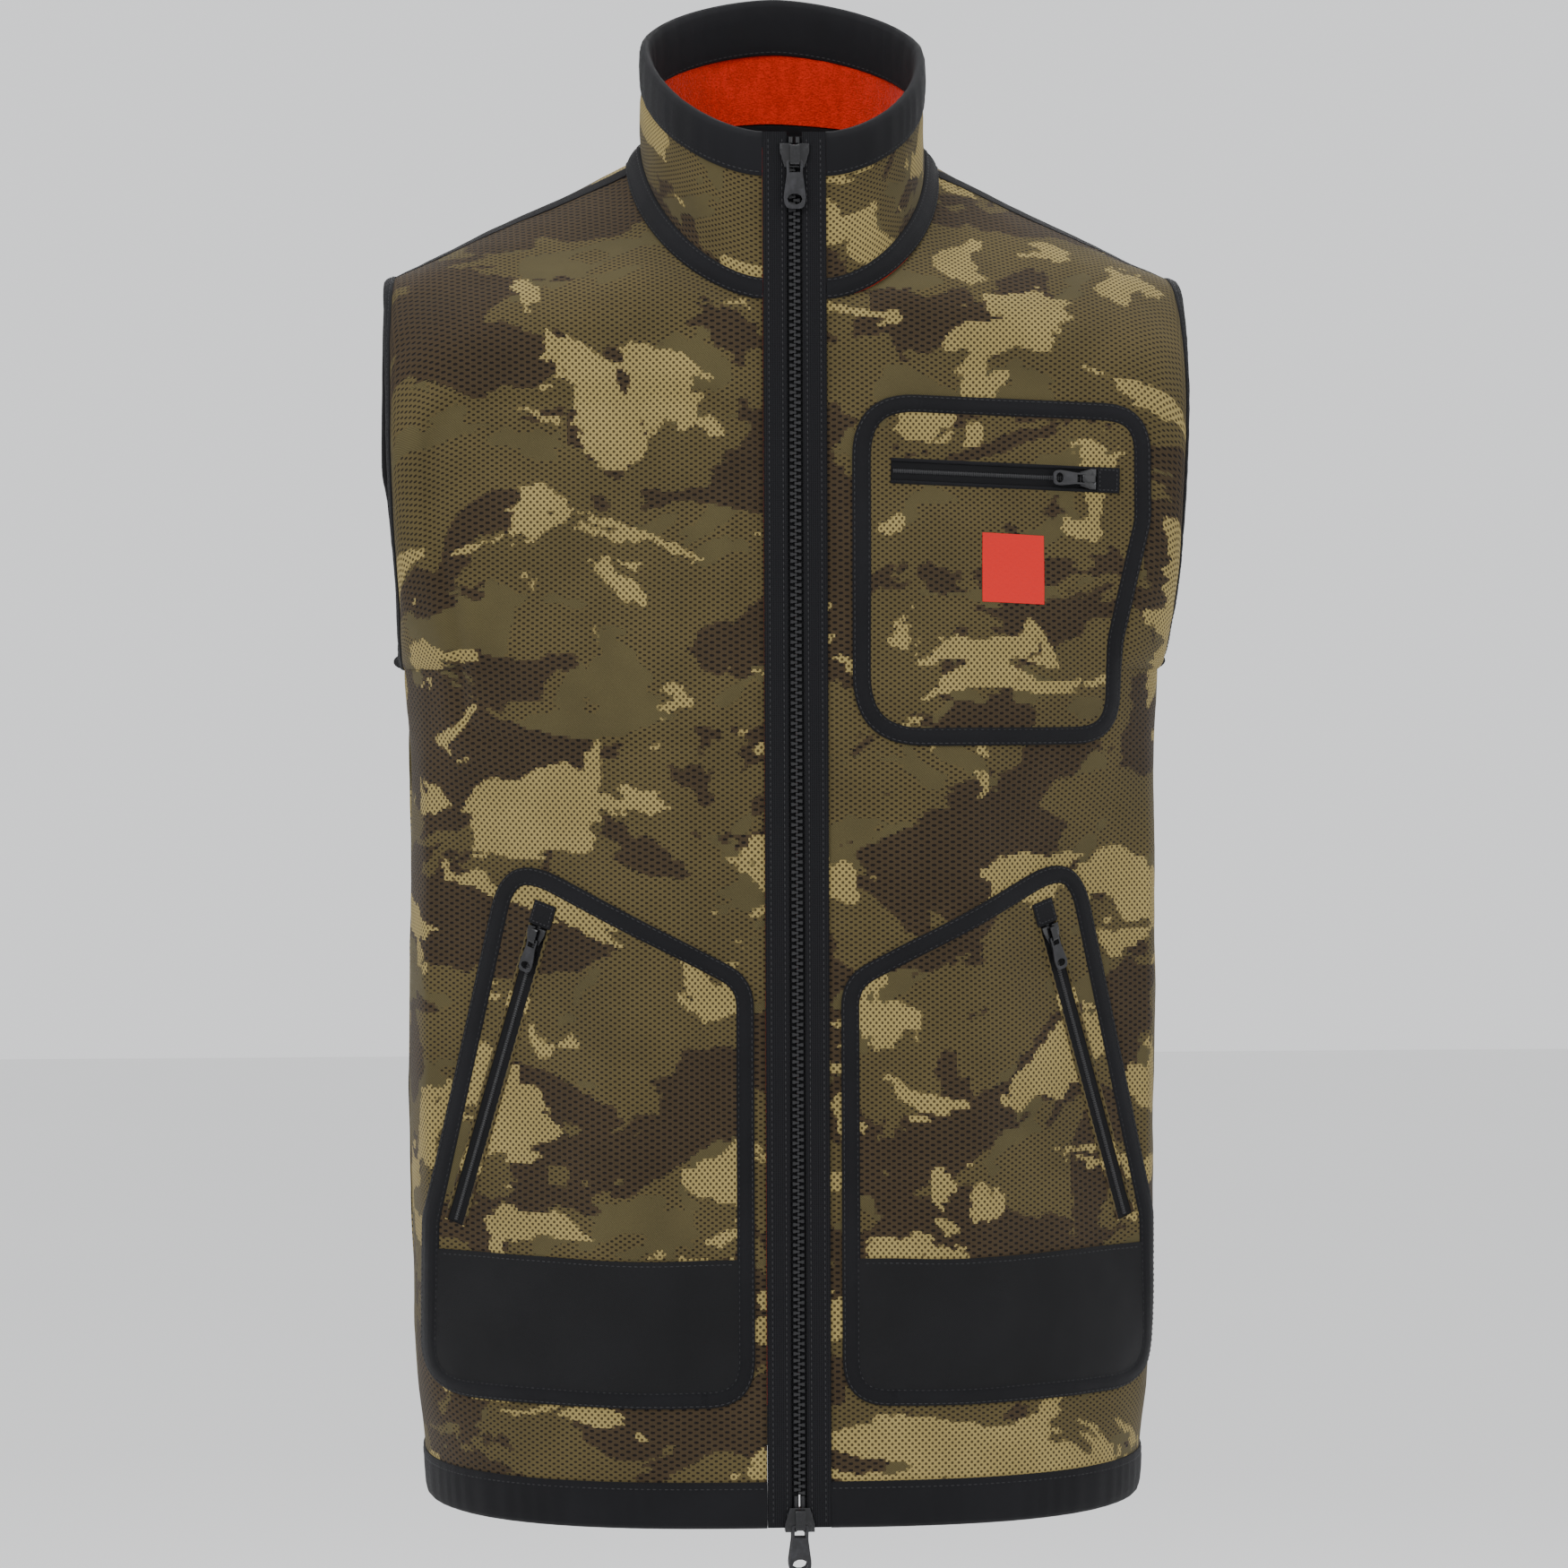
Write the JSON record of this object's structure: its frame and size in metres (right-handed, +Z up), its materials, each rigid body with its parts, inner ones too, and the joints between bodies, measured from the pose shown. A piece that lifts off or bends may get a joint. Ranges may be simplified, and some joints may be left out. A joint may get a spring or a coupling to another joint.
{
  "type": "vest",
  "caption": "Reversible zip-front vest with stand collar: camouflage knit outside, blaze orange fleece lining, black bindings, bound patch pockets with zips and a two-way front zip.",
  "frame": {"origin": "midway between the two points where the shoulder seams meet the neck, where the vest rests on the wearer's shoulders", "axes": "+Z up, front towards -Y, the wearer's left towards +X"},
  "size_m": [0.4184, 0.2542, 0.8072],
  "materials": {
    "camo_knit": "four-tone jacquard knit fleece, matt",
    "orange_fleece": "brushed fleece, matt",
    "black_trim": "black knitted binding, matt",
    "pocket_fabric": "plain black woven nylon",
    "zip_tape": "black herringbone zip tape",
    "zip_plastic": "moulded black plastic teeth",
    "slider_metal": "black enamelled die-cast metal",
    "pull_plastic": "black enamelled die-cast metal",
    "patch": "plain woven label, orange-red"
  },
  "bodies": {
    "vest": {"back_lining": "orange_fleece", "back_shell": "camo_knit", "chest_patch": "patch", "chest_pocket_binding": "black_trim", "chest_pocket_panel": "camo_knit", "chest_pocket_zip_coil": "zip_plastic", "chest_pocket_zip_garage": "black_trim", "chest_pocket_zip_tape": "zip_tape", "collar_lining": "orange_fleece", "collar_shell": "camo_knit", "collar_top_band": "black_trim", "hem_band": "black_trim", "inner_pocket_panel": "orange_fleece", "inner_pocket_zip_tape": "zip_tape", "left_armhole_binding": "black_trim", "left_front_lining": "orange_fleece", "left_front_shell": "camo_knit", "left_hand_pocket_binding": "black_trim", "left_hand_pocket_panel": "camo_knit", "left_hand_pocket_reinforcement": "pocket_fabric", "left_hand_pocket_zip_coil": "zip_plastic", "left_hand_pocket_zip_garage": "black_trim", "left_hand_pocket_zip_tape": "zip_tape", "left_placket": "black_trim", "left_shoulder_tape": "black_trim", "left_zip_facing": "black_trim", "left_zip_pin": "zip_plastic", "left_zip_tape": "zip_tape", "left_zip_teeth": "zip_plastic", "left_zip_top_stop": "zip_plastic", "neck_binding": "black_trim", "right_armhole_binding": "black_trim", "right_front_lining": "orange_fleece", "right_front_shell": "camo_knit", "right_hand_pocket_binding": "black_trim", "right_hand_pocket_panel": "camo_knit", "right_hand_pocket_reinforcement": "pocket_fabric", "right_hand_pocket_zip_coil": "zip_plastic", "right_hand_pocket_zip_garage": "black_trim", "right_hand_pocket_zip_tape": "zip_tape", "right_placket": "black_trim", "right_shoulder_tape": "black_trim", "right_zip_facing": "black_trim", "right_zip_pin": "zip_plastic", "right_zip_tape": "zip_tape", "right_zip_teeth": "zip_plastic", "right_zip_top_stop": "zip_plastic"},
    "bottom_back_pull_body": {"bottom_back_pull": "pull_plastic"},
    "bottom_front_pull_body": {"bottom_front_pull": "pull_plastic"},
    "bottom_slider_body": {"bottom_slider": "slider_metal"},
    "chest_pocket_zip_pull_body": {"chest_pocket_zip_pull": "pull_plastic"},
    "chest_pocket_zip_slider_body": {"chest_pocket_zip_slider": "slider_metal"},
    "inner_pocket_zip_pull_body": {"inner_pocket_zip_pull": "pull_plastic"},
    "inner_pocket_zip_slider_body": {"inner_pocket_zip_slider": "slider_metal"},
    "left_hand_pocket_zip_pull_body": {"left_hand_pocket_zip_pull": "pull_plastic"},
    "left_hand_pocket_zip_slider_body": {"left_hand_pocket_zip_slider": "slider_metal"},
    "right_hand_pocket_zip_pull_body": {"right_hand_pocket_zip_pull": "pull_plastic"},
    "right_hand_pocket_zip_slider_body": {"right_hand_pocket_zip_slider": "slider_metal"},
    "top_pull_body": {"top_pull": "pull_plastic"},
    "top_slider_body": {"top_slider": "slider_metal"}
  },
  "joints": [
    {"name": "top_slider_slide", "type": "slide", "parent": "vest", "child": "top_slider_body", "axis": [0, -0.0579, -0.9983], "range_m": [0, 0.42]},
    {"name": "top_pull_hinge", "type": "hinge", "parent": "top_slider_body", "child": "top_pull_body", "pos_m": [0, -0.0918, -0.00409], "axis": [-1, 0, 0], "range_deg": [0, 130]},
    {"name": "bottom_slider_slide", "type": "slide", "parent": "vest", "child": "bottom_slider_body", "axis": [0, 0.0579, 0.9983], "range_m": [0, 0.22]},
    {"name": "bottom_front_pull_hinge", "type": "hinge", "parent": "bottom_slider_body", "child": "bottom_front_pull_body", "pos_m": [0, -0.13145, -0.68794], "axis": [-1, 0, 0], "range_deg": [0, 130]},
    {"name": "bottom_back_pull_hinge", "type": "hinge", "parent": "bottom_slider_body", "child": "bottom_back_pull_body", "pos_m": [0, -0.12286, -0.68844], "axis": [1, 0, 0], "range_deg": [0, 130]},
    {"name": "left_hand_pocket_zip_slider_slide", "type": "slide", "parent": "vest", "child": "left_hand_pocket_zip_slider_body", "axis": [0.2705, 0.1123, -0.9562], "range_m": [0, 0.14]},
    {"name": "left_hand_pocket_zip_pull_hinge", "type": "hinge", "parent": "left_hand_pocket_zip_slider_body", "child": "left_hand_pocket_zip_pull_body", "pos_m": [0.1323, -0.09155, -0.3959], "axis": [-0.8061, -0.5165, -0.2887], "range_deg": [0, 130]},
    {"name": "right_hand_pocket_zip_slider_slide", "type": "slide", "parent": "vest", "child": "right_hand_pocket_zip_slider_body", "axis": [-0.2705, 0.1123, -0.9562], "range_m": [0, 0.14]},
    {"name": "right_hand_pocket_zip_pull_hinge", "type": "hinge", "parent": "right_hand_pocket_zip_slider_body", "child": "right_hand_pocket_zip_pull_body", "pos_m": [-0.1323, -0.09155, -0.3959], "axis": [-0.8061, 0.5165, 0.2887], "range_deg": [0, 130]},
    {"name": "chest_pocket_zip_slider_slide", "type": "slide", "parent": "vest", "child": "chest_pocket_zip_slider_body", "axis": [-0.9803, -0.1939, 0.0366], "range_m": [0, 0.09]},
    {"name": "chest_pocket_zip_pull_hinge", "type": "hinge", "parent": "chest_pocket_zip_slider_body", "child": "chest_pocket_zip_pull_body", "pos_m": [0.14856, -0.08144, -0.16298], "axis": [0.0249, 0.0628, 0.9977], "range_deg": [0, 130]},
    {"name": "inner_pocket_zip_slider_slide", "type": "slide", "parent": "vest", "child": "inner_pocket_zip_slider_body", "axis": [0.9803, -0.1939, 0.0366], "range_m": [0, 0.09]},
    {"name": "inner_pocket_zip_pull_hinge", "type": "hinge", "parent": "inner_pocket_zip_slider_body", "child": "inner_pocket_zip_pull_body", "pos_m": [-0.14646, -0.07096, -0.16359], "axis": [-0.0249, 0.0628, 0.9977], "range_deg": [0, 130]}
  ]
}
